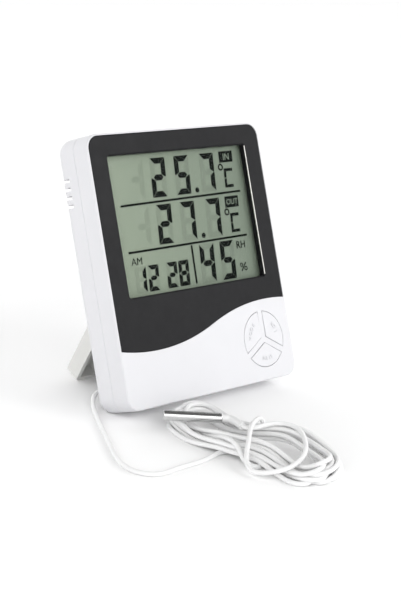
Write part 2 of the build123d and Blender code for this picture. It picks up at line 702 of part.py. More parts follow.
def cord_grommet():
    """A strain relief: a flange inside the back wall, a neck through it and a taper outside."""
    tip = DEPTH + GROMMET_PROUD
    body = disc(GROMMET, GROMMET_HOLE + 0.9, REAR_INSIDE - 1, REAR_INSIDE)
    body += disc(GROMMET, GROMMET_HOLE, REAR_INSIDE, DEPTH)
    face = Plane(origin=(GROMMET[0], DEPTH, GROMMET[1]), z_dir=(0, 1, 0))
    end = Plane(origin=(GROMMET[0], tip, GROMMET[1]), z_dir=(0, 1, 0))
    return body + loft([face * Circle(GROMMET_HOLE), end * Circle(GROMMET_TIP)])


def internal_wires():
    """Battery leads, sensor lead and the probe cord's inner end, each soldered to a board."""
    end = TRAY_HALF + TRAY_END + RIVET_TAIL
    routes = [
        [
            (side * end, BATTERY_Y, BATTERY_Z),
            (side * 33.0, 13.2, 64.0),
            (side * 38.2, 12.4, 57.0),
            (side * 39.0, 11.2, 48.0),
            (side * 38.6, 9.9, 43.6),
            (side * 38.6, BOARD_BACK, 43.6),
        ]
        for side in (-1, 1)
    ]
    routes.append(
        [
            (-38.6, BOARD_BACK, 40.0),
            (-38.6, 9.8, 40.0),
            (-43.0, 10.2, 47.0),
            (-43.6, 10.0, 62.0),
            (-42.8, 10.1, 76.0),
            (-41.0, 10.4, 80.0),
            (-41.0, SENSOR_BOARD_Y, 80.0),
        ]
    )
    routes.append(
        [
            (GROMMET[0], REAR_INSIDE - 1, GROMMET[1]),
            (-40.4, 13.6, 9.6),
            (-39.6, 11.4, 14.0),
            (-37.2, 9.8, 17.8),
            (-37.2, BOARD_BACK, 17.8),
        ]
    )
    return group(tube(route, WIRE_RADIUS)[0] for route in routes)


def cord_start():
    """The end of the strain relief, and a point straight out from it, with the case standing."""
    tip = DEPTH + GROMMET_PROUD
    depths = (tip, tip + CORD_STRAIGHT)
    return [(STANDING * Pos(GROMMET[0], y, GROMMET[1])).position for y in depths]


def hank_lobe(near, far, height):
    """A mound over two rounds and the space between them."""
    rounds = [(Pos(*place) * Circle(radius)).edges() for place, radius in (near, far)]
    mound = extrude(make_hull(rounds[0] + rounds[1]), amount=height)
    return fillet(mound.faces().sort_by(Axis.Z)[-1].edges(), HANK_EDGE)


def cord_hank(cord, sleeve):
    """The outer shape of the tied hank, with sockets for the cord that enters it and the sleeve that leaves."""
    mound = Part()
    for near, far, height in zip(HANK_ROUNDS, HANK_ROUNDS[1:], HANK_HEIGHTS):
        mound += hank_lobe(near, far, height)
    return mound - cord - sleeve


def probe_tip():
    root = Plane(origin=PROBE_ROOT, z_dir=PROBE_AIM)
    body = extrude(root * Circle(PROBE_RADIUS), amount=PROBE_LENGTH)
    rim = body.edges().filter_by(GeomType.CIRCLE)
    return fillet(rim, PROBE_EDGE)


def probe_sleeve():
    """The sleeve over the joint: straight behind the steel tube, then bent towards the hank."""
    root = Vector(*PROBE_ROOT)
    behind = root - Vector(*PROBE_AIM).normalized() * SLEEVE_STRAIGHT
    sleeve, bends = tube([root, behind] + SLEEVE_ROUTE, SLEEVE_RADIUS)
    print("sleeve bend radii", [round(r, 1) for r in bends])
    return sleeve


cord, cord_bends = tube(cord_start() + CORD_ROUTE, CORD_RADIUS)
print("cord start", [tuple(round(v, 2) for v in p) for p in cord_start()])
print("open angle", round(OPEN_ANGLE, 2))
print("cord bend radii", [round(r, 1) for r in cord_bends])

case_parts = {
    "front_case": front_case(),
    "rear_case": rear_case(),
    "display_bezel": display_bezel(),
    "window_lens": window_lens(),
    "lcd_glass": lcd_glass(),
    "connector_strip": connector_strip(),
    "circuit_board": circuit_board(),
    "controller_chip": controller_chip(),
    "timing_crystal": timing_crystal(),
    "button_pad": button_pad(),
    "sensor_board": sensor_board(),
    "humidity_sensor": humidity_sensor(),
    "indoor_thermistor": indoor_thermistor(),
    "unit_switch": unit_switch(),
    "unit_button": unit_button(),
    "alarm_buzzer": alarm_buzzer(),
    "stand": stand(),
    "battery_door": battery_door(),
    "battery_cell": battery_cell(),
    "positive_contact": positive_contact(),
    "negative_contact": negative_contact(),
    "negative_spring": negative_spring(),
    "case_screws": group(screw(place, SEAT_Y, SHANK_LENGTH) for place in CASE_SCREWS),
    "board_screws": group(screw(place, BOARD_BACK, BOARD_SHANK) for place in BOARD_SCREWS),
    "cord_grommet": cord_grommet(),
    "internal_wires": internal_wires(),
}
for name, angle in BUTTON_ANGLES.items():
    case_parts[name] = sector_button(angle)

parts = {name: STANDING * shape for name, shape in case_parts.items()}
parts["probe_cord"] = cord
parts["probe_sleeve"] = probe_sleeve()
parts["cord_hank"] = cord_hank(cord, parts["probe_sleeve"])
parts["probe_tip"] = probe_tip()

os.makedirs("parts", exist_ok=True)
for name, shape in parts.items():
    export_step(shape, f"parts/{name}.step")
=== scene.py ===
import json
import math

import bpy
import numpy as np
from mathutils import Matrix, Vector


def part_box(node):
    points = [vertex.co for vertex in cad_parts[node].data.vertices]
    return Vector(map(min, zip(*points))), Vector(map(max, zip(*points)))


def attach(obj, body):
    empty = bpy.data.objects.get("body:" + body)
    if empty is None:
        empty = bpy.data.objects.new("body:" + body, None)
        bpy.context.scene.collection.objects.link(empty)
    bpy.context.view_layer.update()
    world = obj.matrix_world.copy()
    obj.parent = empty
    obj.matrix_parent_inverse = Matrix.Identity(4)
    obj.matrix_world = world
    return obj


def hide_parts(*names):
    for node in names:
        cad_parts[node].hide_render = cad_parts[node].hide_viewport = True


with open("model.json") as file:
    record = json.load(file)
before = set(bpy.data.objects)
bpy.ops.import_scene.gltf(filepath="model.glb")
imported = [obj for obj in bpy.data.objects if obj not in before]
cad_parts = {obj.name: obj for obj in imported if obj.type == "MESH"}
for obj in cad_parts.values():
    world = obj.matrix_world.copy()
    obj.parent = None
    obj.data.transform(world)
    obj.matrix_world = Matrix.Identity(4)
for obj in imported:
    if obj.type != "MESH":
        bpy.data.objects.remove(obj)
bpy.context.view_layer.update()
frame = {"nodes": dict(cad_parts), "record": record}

# Lengths are metres, apart from the hank and the drawings on the case's front, which are in millimetres.
MM = 0.001

# The camera stands at the front left, a little above the case.
CAMERA_PLACE = Vector((-0.45806, -0.44414, 0.22733))
CAMERA_AIM = Vector((0.01118, 0.0, 0.05613))
CAMERA_ROLL = math.radians(6.38)
CAMERA_LENS = 95.5
CAMERA_SHIFT = -0.078

FLOOR_SIZE = 6.0

# The room is white up to a height, and dark above it: the heights are those of a unit direction.
ROOM_WHITE_BELOW, ROOM_DARK_ABOVE = 0.74, 0.82
ROOM_STRENGTH = 1.56

# The cord's route along the table, from the strain relief to the hank.
CORD_RADIUS = 0.00095
CORD_EXIT = (-0.0405, -0.00524, 0.00652)
CORD_ROUTE = [
    CORD_EXIT,
    (-0.0405, -0.00311, 0.00567),
    (-0.0423, -0.0022, 0.0046),
    (-0.0456, -0.0036, 0.0037),
    (-0.0496, -0.0082, 0.0024),
    (-0.0546, -0.0164, 0.001),
    (-0.0614, -0.028, 0.001),
    (-0.0684, -0.0395, 0.001),
    (-0.0754, -0.0505, 0.001),
    (-0.0792, -0.0625, 0.001),
    (-0.073, -0.0712, 0.001),
    (-0.0605, -0.0695, 0.001),
    (-0.049, -0.07, 0.001),
    (-0.038, -0.0672, 0.001),
]

# The hank is drawn in millimetres: along it from its left end, across it away from the viewer, and up.
HANK_LEFT = Vector((-22.5, -30.0))
HANK_RIGHT = Vector((-20.0, -109.5))
HANK_TURNS = 8
HANK_SPACING = 2.0
FLOOR_REST = 1.0

# Where the strands lie, as pairs of a place along the hank and a value there: each side's outermost strand,
# how far apart its strands are, how each lies higher than the last, and the hump over the tie.
NEAR_EDGE = [
    (3, -10.0),
    (17, -17.0),
    (26, -18.4),
    (35, -16.4),
    (43, -13.0),
    (57, -12.0),
    (70, -14.5),
    (79, -13.0),
]
NEAR_PITCH = [(18, 2.2), (36, 2.15), (50, 4.2), (58, 3.9), (68, 2.5)]
NEAR_RISE = [(20, 0.0), (36, 0.35), (50, 1.0), (64, 0.1)]
FAR_EDGE = [(0, 8), (10, 10.5), (22, 8.0), (31, 6.0), (46, 19.0), (62, 18.5), (76, 10)]
FAR_PITCH = [(20, 2.3), (34, 2.3), (50, 5.2), (60, 5.0), (68, 3.4)]
FAR_RISE = [(20, 0.0), (32, 0.5), (50, 4.4), (60, 3.4), (74, 0.4)]
HUMP = [(26, 0.0), (37, 1.8), (49, 1.7), (58, 0.0)]

# Strands in a layer, a layer's height, and how many pitches it lies inwards of the one below.
NEAR_COLUMNS, NEAR_LAYER, NEAR_NEST = 4, 1.9, 0.5
FAR_COLUMNS, FAR_LAYER, FAR_NEST = 3, 2.15, 0.33
ENTRY_COLUMN = 3.4

# A strand wanders this far to the sides, by a sine of its place, with its own start for every turn.
WANDER, WANDER_WAVE, WANDER_TURN, WANDER_SIDE = 0.5, 0.11, 2.4, 1.3

# Where along the hank its runs have points, where its folds begin, and how far out they reach.
RUN_PLACES = (22, 34, 48, 60)
LAST_RUN_PLACES = (20, 27)
RIGHT_FOLD, RIGHT_FOLD_FAR, RIGHT_TIP, RIGHT_TIP_STEP = 66, 62, 78.6, 1.7
LEFT_FOLD, LEFT_TIP, LEFT_TIP_STEP = 12, 2.4, 1.4
TIP_STEPS = 3
TIP_WANDER = 1.5
FOLD_LIFT = 0.15
RIGHT_FOLD_DIP = 0.7

# The folds' shapes, as pairs of a share of the way out to the tip and a share of the half width.
RIGHT_BEND = ((0.3, -1.0), (0.7, -0.92), (0.94, -0.68), (1.0, -0.35), (0.9, 0.05), (0.68, 0.45), (0.36, 0.82))
LEFT_BEND = ((0.2, 1.03), (0.62, 0.86), (0.94, 0.45), (1.0, 0.0), (0.94, -0.45), (0.62, -0.86), (0.2, -1.03))
LEFT_BEND_BASE = 0.95

# How the strands settle: places a step apart sink a little each round and push each other off.
SETTLE_STEP = 1.0
SETTLE_ROUNDS = 320
SETTLE_SINK = 0.006
SINKING_SHARE = 0.85

# Close pairs are looked for every few rounds, within so many spacings, and not among neighbours in line.
SEARCH_EVERY = 10
SEARCH_REACH = 1.8
NEIGHBOURS = 6

# A place pushed by many moves less, moves are smoothed along the cord, and its ends hold for some places.
SHARED_PUSH = 0.6
SMOOTHING = 0.25
DRIFT_KEPT = 0.99
HELD_END = 12

# The cord enters under the near strands, and after the last turn it is passed under, round and over the
# waist, through a loose arc on top, and back to the probe's sleeve.
ENTRY = [
    (36.9, -12.7, 1.1),
    (39.3, -9.6, 1.7),
    (43.5, -7.4, 2.6),
    (48.5, -5.6, 3.0),
    (54.5, -4.2, 2.0),
    (60.5, -4.4, 1.0),
]
TIE_UNDER = [
    (34, -12.6, 5.2),
    (39.5, -12.4, 5.0),
    (44.8, -14.4, 4.2),
    (49.9, -17.0, 2.7),
    (53.0, -16.3, 1.5),
    (54.8, -13.7, 1.0),
    (54.4, -10.5, 1.0),
    (50.6, -7.0, 1.0),
    (45.6, -3.0, 1.0),
    (40.8, 1.4, 1.0),
    (37.6, 5.4, 1.0),
    (35.4, 8.6, 1.0),
]
TIE_OVER = [
    (34.3, 11.2, 3.4),
    (34.0, 11.3, 6.9),
    (34.8, 8.8, 9.5),
    (37.2, 3.4, 10.5),
    (41.2, -4.7, 10.2),
    (45.7, -10.5, 8.2),
    (49.3, -15.3, 5.6),
    (52.8, -18.9, 3.5),
]
TIE_ARC = [
    (56.6, -20.6, 2.6),
    (60.4, -19.6, 3.1),
    (63.8, -17.6, 4.2),
    (66.6, -14.8, 5.3),
    (68.3, -11.0, 6.4),
    (67.5, -4.5, 7.8),
    (63.5, 2.5, 9.2),
    (57, 8.5, 10.2),
    (51, 11.8, 10.5),
    (46, 11.6, 10.5),
    (42.5, 8.5, 10.2),
    (41.4, 3.9, 9.9),
    (41.3, -1.2, 9.6),
    (39.7, -3.5, 9.3),
    (37.2, -4.2, 9.1),
    (35.0, -3.45, 9.1),
]

# The case's own frame: X to the right, Y from the front face to the back, Z up from the bottom edge.
HANGING_HOLE = next(m for m in frame["record"]["mounts"] if m["name"] == "hanging_hole")
HOLE_IN_CASE = Vector((0.0, 19.0, 92.0)) * MM
BACKWARD = Vector(HANGING_HOLE["axis"])
LEAN = math.atan2(-BACKWARD.z, BACKWARD.y)
LEANING = Matrix.Rotation(-LEAN, 4, "X")
CASE_PLACE = Matrix.Translation(Vector(HANGING_HOLE["pos_m"]) - LEANING @ HOLE_IN_CASE) @ LEANING
CASE = CASE_PLACE @ Matrix.Scale(MM, 4)


# ---------------------------------------------------------------- materials

# The display glass's colours at its left and right edges, as a screen shows them: painted shade, lit paler at
# the left and shaded darker at the right.
POLARISER_LIT_LEFT, POLARISER_SHADED_RIGHT = (148, 160, 141), (125, 137, 122)


def colour(red, green, blue):
    """A colour as a screen shows it, 0 to 255, in the linear values that shaders take."""

    def linear(value):
        value /= 255
        return value / 12.92 if value <= 0.04045 else ((value + 0.055) / 1.055) ** 2.4

    return (linear(red), linear(green), linear(blue), 1.0)


class Finish:
    """A material made of one shader, with colour, shine and relief that vary over the surface."""

    def __init__(self, name, base, roughness, metallic=0.0, specular=0.5, alpha=1.0, coat=0.0):
        self.material = bpy.data.materials.new(name)
        self.material.use_nodes = True
        self.nodes = self.material.node_tree.nodes
        self.links = self.material.node_tree.links
        self.shader = self.nodes["Principled BSDF"]
        self.base = base
        self.set("Base Color", base)
        self.set("Roughness", roughness)
        self.set("Metallic", metallic)
        self.set("Specular IOR Level", specular)
        self.set("Alpha", alpha)
        self.set("Coat Weight", coat)
        self.place = self.nodes.new("ShaderNodeTexCoord").outputs["Object"]
        self.relief = None

    def set(self, socket, value):
        self.shader.inputs[socket].default_value = value

    def stretched(self, scale, turn=(0, 0, 0)):
        """The surface's place, turned and then scaled, so that a texture runs along one direction."""
        mapping = self.nodes.new("ShaderNodeMapping")
        mapping.vector_type = "POINT"
        mapping.inputs["Rotation"].default_value = turn
        mapping.inputs["Scale"].default_value = scale
        self.links.new(self.place, mapping.inputs["Vector"])
        return mapping.outputs["Vector"]

    def noise(self, scale, detail=3.0, where=None):
        texture = self.nodes.new("ShaderNodeTexNoise")
        texture.inputs["Scale"].default_value = scale
        texture.inputs["Detail"].default_value = detail
        self.links.new(where or self.place, texture.inputs["Vector"])
        return texture.outputs["Fac"]

    def cells(self, scale):
        texture = self.nodes.new("ShaderNodeTexVoronoi")
        texture.inputs["Scale"].default_value = scale
        self.links.new(self.place, texture.inputs["Vector"])
        return texture.outputs["Distance"]

    def bands(self, scale, direction):
        texture = self.nodes.new("ShaderNodeTexWave")
        texture.bands_direction = direction
        texture.inputs["Scale"].default_value = scale
        self.links.new(self.place, texture.inputs["Vector"])
        return texture.outputs["Fac"]

    def along_x(self, start, end):
        """The place along X, from 0 at the start to 1 at the end."""
        split = self.nodes.new("ShaderNodeSeparateXYZ")
        self.links.new(self.place, split.inputs["Vector"])
        return self.ranged(split.outputs["X"], 0.0, 1.0, start, end)

    def ranged(self, value, low, high, from_low=0.3, from_high=0.7):
        """A value moved from one range to another, by default from the middle of a noise."""
        node = self.nodes.new("ShaderNodeMapRange")
        node.inputs["From Min"].default_value = from_low
        node.inputs["From Max"].default_value = from_high
        node.inputs["To Min"].default_value = low
        node.inputs["To Max"].default_value = high
        self.links.new(value, node.inputs["Value"])
        return node.outputs["Result"]

    def painted(self, value, stops, sharp=False):
        """Base colour from a value, through stops of (place, colour)."""
        ramp = self.nodes.new("ShaderNodeValToRGB")
        ramp.color_ramp.interpolation = "CONSTANT" if sharp else "LINEAR"
        while len(ramp.color_ramp.elements) < len(stops):
            ramp.color_ramp.elements.new(1.0)
        for element, (place, shade) in zip(ramp.color_ramp.elements, stops):
            element.position = place
            element.color = shade
        self.links.new(value, ramp.inputs["Fac"])
        self.links.new(ramp.outputs["Color"], self.shader.inputs["Base Color"])

    def mottled(self, scale, amount, where=None):
        """The base colour, darker and lighter by a share of itself."""
        low = tuple(channel * (1 - amount) for channel in self.base[:3]) + (1.0,)
        high = tuple(min(1.0, channel * (1 + amount)) for channel in self.base[:3]) + (1.0,)
        self.painted(self.noise(scale, where=where), [(0.3, low), (0.7, high)])

    def shined(self, scale, low, high, where=None):
        """Roughness that varies between two values."""
        value = self.ranged(self.noise(scale, where=where), low, high)
        self.links.new(value, self.shader.inputs["Roughness"])

    def bumped(self, height, strength, depth):
        """Relief of a depth in metres, added to any that is there."""
        bump = self.nodes.new("ShaderNodeBump")
        bump.inputs["Strength"].default_value = strength
        bump.inputs["Distance"].default_value = depth
        self.links.new(height, bump.inputs["Height"])
        if self.relief:
            self.links.new(self.relief, bump.inputs["Normal"])
        self.relief = bump.outputs["Normal"]
        self.links.new(self.relief, self.shader.inputs["Normal"])


def moulded(name, base, roughness, grain=2600.0, depth=0.00002):
    """Moulded plastic: spark-eroded grain, slow waviness of the mould, and uneven shine."""
    finish = Finish(name, base, roughness, specular=0.42)
    finish.mottled(60, 0.012)
    finish.shined(220, roughness - 0.06, roughness + 0.07)
    finish.bumped(finish.noise(grain, detail=4), 0.35, depth)
    finish.bumped(finish.noise(45, detail=1), 0.15, 0.00012)
    return finish


def white_case():
    return moulded("white_case", colour(211, 211, 214), 0.45)


def stand_plastic():
    return moulded("stand_plastic", colour(212, 212, 209), 0.5)


def button_plastic():
    return moulded("button_plastic", colour(211, 211, 214), 0.42, grain=3400.0, depth=0.000012)


def black_bezel():
    finish = Finish("black_bezel", colour(24, 24, 26), 0.42, specular=0.12)
    finish.mottled(420, 0.10)
    finish.shined(150, 0.34, 0.46)
    finish.bumped(finish.noise(3200, detail=3), 0.25, 0.00001)
    return finish


def clear_lens():
    """Clear sheet: almost nothing but its shine."""
    finish = Finish("clear_lens", (0.03, 0.035, 0.03, 1.0), 0.06, specular=0.5, alpha=0.05)
    finish.shined(90, 0.03, 0.12)
    return finish


def polariser(name, share):
    """Grey green with faint rub lines, darker or lighter by a share, and painted shade: paler at the left,
    darker towards the right, as the light falls.
    """
    pale, deep = (colour(*(share * value for value in shade)) for shade in (POLARISER_LIT_LEFT, POLARISER_SHADED_RIGHT))
    finish = Finish(name, pale, 0.5, specular=0.1)
    # Painted shade: the colour runs from the lit left edge to the shaded right edge, with the rub lines over
    # it.
    across = finish.along_x(-0.04, 0.04)
    rubbed = finish.noise(60, detail=5, where=finish.stretched((9, 1, 1)))
    mixed = finish.nodes.new("ShaderNodeMath")
    mixed.operation = "MULTIPLY_ADD"
    mixed.inputs[1].default_value = 0.3
    finish.links.new(rubbed, mixed.inputs[0])
    finish.links.new(across, mixed.inputs[2])
    finish.painted(mixed.outputs["Value"], [(0.0, pale), (1.0, deep)])
    finish.bumped(finish.noise(900, detail=2), 0.1, 0.00001)
    return finish


def lcd_panel():
    return polariser("lcd_panel", 1.0)


def display_ink():
    finish = Finish("display_ink", colour(7, 13, 10), 0.7, specular=0.03)
    finish.mottled(700, 0.1)
    return finish


def display_ghost():
    """Bars that are off: the glass, a little darker."""
    return polariser("display_ghost", 0.93)


def display_light():
    """Letters in the dark boxes: the glass, a little lighter."""
    return polariser("display_light", 1.06)


def dark_rubber():
    """The connector strip's layers, black and grey in turn."""
    finish = Finish("dark_rubber", colour(60, 60, 62), 0.75, specular=0.25)
    finish.painted(finish.bands(1600, "X"), [(0.3, colour(28, 28, 30)), (0.7, colour(128, 128, 130))])
    finish.bumped(finish.noise(1800), 0.3, 0.00003)
    return finish


def grey_rubber():
    finish = Finish("grey_rubber", colour(150, 150, 152), 0.8, specular=0.25)
    finish.mottled(160, 0.06)
    finish.bumped(finish.noise(1500, detail=4), 0.5, 0.00003)
    return finish


def green_board():
    """Solder mask over a pattern of tracks, with the glass weave under it."""
    finish = Finish("green_board", colour(22, 98, 52), 0.35, specular=0.5, coat=0.3)
    tracks = finish.cells(210)
    green, track = colour(16, 84, 44), colour(44, 130, 70)
    finish.painted(tracks, [(0.0, track), (0.18, track), (0.24, green), (1.0, green)])
    finish.bumped(tracks, 0.2, 0.00004)
    finish.bumped(finish.bands(900, "DIAGONAL"), 0.1, 0.00001)
    return finish


def black_resin():
    finish = Finish("black_resin", colour(24, 24, 25), 0.3, specular=0.5)
    finish.mottled(300, 0.2)
    finish.shined(400, 0.2, 0.42)
    finish.bumped(finish.noise(380, detail=2), 0.3, 0.0001)
    return finish


def bright_metal():
    finish = Finish("bright_metal", colour(214, 213, 208), 0.25, metallic=1.0)
    finish.mottled(500, 0.06)
    finish.shined(900, 0.18, 0.36, where=finish.stretched((1, 1, 8)))
    finish.bumped(finish.noise(1400, where=finish.stretched((1, 1, 10))), 0.15, 0.00001)
    return finish


def sensor_blue():
    finish = Finish("sensor_blue", colour(70, 140, 196), 0.45)
    finish.mottled(300, 0.05)
    finish.bumped(finish.noise(2600), 0.25, 0.00001)
    return finish


def brass_disc():
    finish = Finish("brass_disc", colour(206, 170, 98), 0.3, metallic=1.0)
    finish.mottled(240, 0.08)
    finish.shined(500, 0.22, 0.42)
    finish.bumped(finish.noise(1600, where=finish.stretched((12, 1, 1))), 0.15, 0.00001)
    return finish


def battery_wrap():
    """A copper-coloured and a dark green band round the cell, with bare metal at its ends."""
    finish = Finish("battery_wrap", colour(30, 60, 48), 0.28, specular=0.5, coat=0.4)
    low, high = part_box("battery_cell")
    along = finish.along_x(low.x, high.x)
    steel, green, copper = colour(200, 200, 198), colour(26, 58, 46), colour(190, 120, 70)
    finish.painted(along, [(0.0, steel), (0.015, green), (0.7, copper), (0.965, steel)], sharp=True)
    finish.shined(300, 0.2, 0.34)
    finish.bumped(finish.noise(700, detail=1), 0.1, 0.00003)
    return finish


def screw_steel():
    finish = Finish("screw_steel", colour(190, 190, 188), 0.35, metallic=1.0)
    finish.mottled(900, 0.1)
    finish.shined(1200, 0.25, 0.5)
    finish.bumped(finish.noise(2400), 0.2, 0.00001)
    return finish


def cord_jacket():
    """Soft vinyl: slightly uneven in thickness, with a fine matt skin."""
    finish = Finish("cord_jacket", colour(232, 232, 232), 0.4, specular=0.45)
    finish.mottled(150, 0.012)
    finish.shined(500, 0.32, 0.5)
    finish.bumped(finish.noise(260, detail=1), 0.25, 0.00006)
    finish.bumped(finish.noise(3000), 0.2, 0.00001)
    return finish


def wire_jacket():
    """White, black and red wires, told apart by where they run."""
    finish = Finish("wire_jacket", colour(190, 40, 34), 0.45)
    across = finish.along_x(-0.05, 0.05)
    black, red, white = colour(30, 30, 32), colour(186, 38, 34), colour(226, 226, 224)
    finish.painted(across, [(0.0, white), (0.085, black), (0.5, red)], sharp=True)
    finish.bumped(finish.noise(1800), 0.2, 0.00002)
    return finish


def shrink_sleeve():
    finish = Finish("shrink_sleeve", colour(232, 232, 232), 0.38, specular=0.5)
    finish.mottled(200, 0.015)
    finish.bumped(finish.noise(420, detail=2), 0.4, 0.00012)
    return finish


def probe_steel():
    """Drawn stainless tube: fine streaks along its length."""
    finish = Finish("probe_steel", colour(206, 206, 206), 0.2, metallic=1.0)
    low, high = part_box("probe_tip")
    heading = math.atan2(high.y - low.y, low.x - high.x)
    along = finish.stretched((0.06, 1, 1), turn=(0, 0, -heading))
    finish.mottled(2600, 0.05, where=along)
    finish.shined(2200, 0.14, 0.24, where=along)
    finish.bumped(finish.noise(3600, where=along), 0.12, 0.000006)
    return finish


def dress_nodes():
    """Every CAD node takes the finish of its slot in the record."""
    makers = (
        white_case,
        stand_plastic,
        button_plastic,
        black_bezel,
        clear_lens,
        lcd_panel,
        dark_rubber,
        grey_rubber,
        green_board,
        black_resin,
        bright_metal,
        sensor_blue,
        brass_disc,
        battery_wrap,
        screw_steel,
        cord_jacket,
        wire_jacket,
        shrink_sleeve,
        probe_steel,
    )
    finishes = {maker.__name__: maker().material for maker in makers}
    for part in frame["record"]["subparts"]:
        mesh = frame["nodes"][part["node"]].data
        mesh.materials.clear()
        mesh.materials.append(finishes[part["material_slot"]])
    return finishes


# ---------------------------------------------------------------- pieces on the case


def add_piece(name, mesh, material, body):
    """A mesh becomes a piece of the object: it rides on a body and has a slot."""
    piece = bpy.data.objects.new(name, mesh)
    bpy.context.scene.collection.objects.link(piece)
    mesh.materials.clear()
    mesh.materials.append(material)
    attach(piece, body)


def mesh_of(curve):
    """The mesh that a curve or a text makes."""
    holder = bpy.data.objects.new(curve.name, curve)
    bpy.context.scene.collection.objects.link(holder)
    bpy.context.view_layer.update()
    graph = bpy.context.evaluated_depsgraph_get()
    mesh = bpy.data.meshes.new_from_object(holder.evaluated_get(graph))
    bpy.data.objects.remove(holder)
    return mesh


def front_place(depth):
    """From a drawing in millimetres, seen from the front, to its place at a depth in the case."""
    return CASE @ Matrix.Translation((0, depth, 0)) @ Matrix.Rotation(math.radians(90), 4, "X")


def drawn(name, outlines, front, back):
    """Closed outlines in the case's X and Z, made solid between two depths, holes left open."""
    curve = bpy.data.curves.new(name, "CURVE")
    curve.dimensions = "2D"
    curve.fill_mode = "BOTH"
    curve.extrude = (back - front) / 2
    for outline in outlines:
        spline = curve.splines.new("POLY")
        spline.points.add(len(outline) - 1)
        for point, (x, z) in zip(spline.points, outline):
            point.co = (x, z, 0, 1)
        spline.use_cyclic_u = True
    mesh = mesh_of(curve)
    mesh.transform(front_place((front + back) / 2))
    return mesh


def lettered(text, size, front, back, slant=0.0, weight=0.0):
    """A word in the plain built-in type, standing on the origin, thick enough to reach both depths."""
    curve = bpy.data.curves.new(text, "FONT")
    curve.body = text
    curve.size = size
    curve.shear = slant
    curve.offset = weight
    curve.extrude = (back - front) / 2
    curve.resolution_u = 4
    return mesh_of(curve)


def joined(name, meshes):
    """Several meshes as one."""
    vertices, faces = [], []
    for mesh in meshes:
        start = len(vertices)
        vertices += [tuple(vertex.co) for vertex in mesh.vertices]
        faces += [[start + index for index in face.vertices] for face in mesh.polygons]
    whole = bpy.data.meshes.new(name)
    whole.from_pydata(vertices, [], faces)
    whole.validate()
    return whole


# ---------------------------------------------------------------- the display

# Depths behind the case's front face, in millimetres: letters end in front of the boxes, and all other
# printing just in front of the display glass.
INK_BACK = 3.735
INK_FRONT = 3.64
LETTER_BACK = 3.68
BOX_FRONT = 3.69
GHOST_FRONT = 3.70
SLANT = math.tan(math.radians(4.5))
LABEL_SLANT = 0.08
SEGMENT_GAP = 0.13
CORNER_CUT = 0.14

# The bars that each figure shows.
SEGMENTS = {
    "1": "bc",
    "2": "abged",
    "4": "fgbc",
    "5": "afgcd",
    "7": "abc",
    "8": "abcdefg",
}


def softened(outline, cut=CORNER_CUT):
    """An outline with its corners cut off."""
    points = [Vector(point) for point in outline]
    result = []
    for i, here in enumerate(points):
        for other in (points[i - 1], points[(i + 1) % len(points)]):
            way = other - here
            result.append(tuple(here + way.normalized() * min(cut, way.length / 3)))
    return result


def segment_outlines(wide, tall, stroke):
    """The seven bars of an upright digit, with mitred ends, by their usual letters."""
    gap = SEGMENT_GAP
    half, middle = stroke / 2, tall / 2
    top = [(gap, tall), (wide - gap, tall)]
    top += [(wide - stroke - gap, tall - stroke), (stroke + gap, tall - stroke)]
    upper = [(0, tall - gap), (0, middle + gap), (half * 0.5, middle + gap)]
    upper += [(stroke, middle + half + gap), (stroke, tall - stroke - gap)]
    bar = [(half + gap, middle), (stroke + gap, middle + half), (wide - stroke - gap, middle + half)]
    bar += [(wide - half - gap, middle), (wide - stroke - gap, middle - half), (stroke + gap, middle - half)]

    def across(points):
        return [(wide - x, z) for x, z in points]

    def flipped(points):
        return [(x, tall - z) for x, z in points]

    return {
        "a": top,
        "b": across(upper),
        "c": flipped(across(upper)),
        "d": flipped(top),
        "e": flipped(upper),
        "f": upper,
        "g": bar,
    }


def digit(letters, left, bottom, wide, tall, stroke):
    """The chosen bars of one digit, leaning to the right."""
    bars = segment_outlines(wide, tall, stroke)
    return [
        softened([(left + x + z * SLANT, bottom + z) for x, z in bars[letter]]) for letter in letters
    ]


def circle(centre, radius, steps=24):
    """A round outline, anticlockwise."""
    turns = [2 * math.pi * i / steps for i in range(steps)]
    return [(centre[0] + radius * math.cos(turn), centre[1] + radius * math.sin(turn)) for turn in turns]


def ring(centre, radius, hole, steps=24):
    """A round outline and the hole in it."""
    return [circle(centre, radius, steps), circle(centre, hole, steps)[::-1]]


def stroke_line(start, end, width):
    """A straight line of a width, as an outline."""
    a, b = Vector(start), Vector(end)
    side = Vector((a.y - b.y, b.x - a.x)).normalized() * width / 2
    return [tuple(a + side), tuple(b + side), tuple(b - side), tuple(a - side)]


BIG = {"wide": 8.3, "tall": 16.2, "stroke": 2.45}
SMALL = {"wide": 5.8, "tall": 10.5, "stroke": 1.85}

# What each place shows, and where it stands: left and bottom, in millimetres.
PLACES = [
    ("2", -14.8, 82.6, BIG),
    ("5", -1.2, 82.6, BIG),
    ("7", 13.6, 82.6, BIG),
    ("2", -15.4, 63.4, BIG),
    ("7", -2.0, 63.4, BIG),
    ("7", 13.0, 63.4, BIG),
    ("4", 5.3, 44.9, BIG),
    ("5", 17.4, 44.9, BIG),
    ("1", -31.8, 45.3, SMALL),
    ("2", -24.8, 45.3, SMALL),
    ("2", -14.4, 45.3, SMALL),
    ("8", -7.7, 45.3, SMALL),
]

# The minus sign and the 1 before each temperature, both off, and the decimal points.
MINUS_PLACES = [(-27.3, 82.6), (-27.9, 63.4)]
POINT_PLACES = [(10.8, 83.8), (10.2, 64.7)]
POINT_RADIUS = 1.1


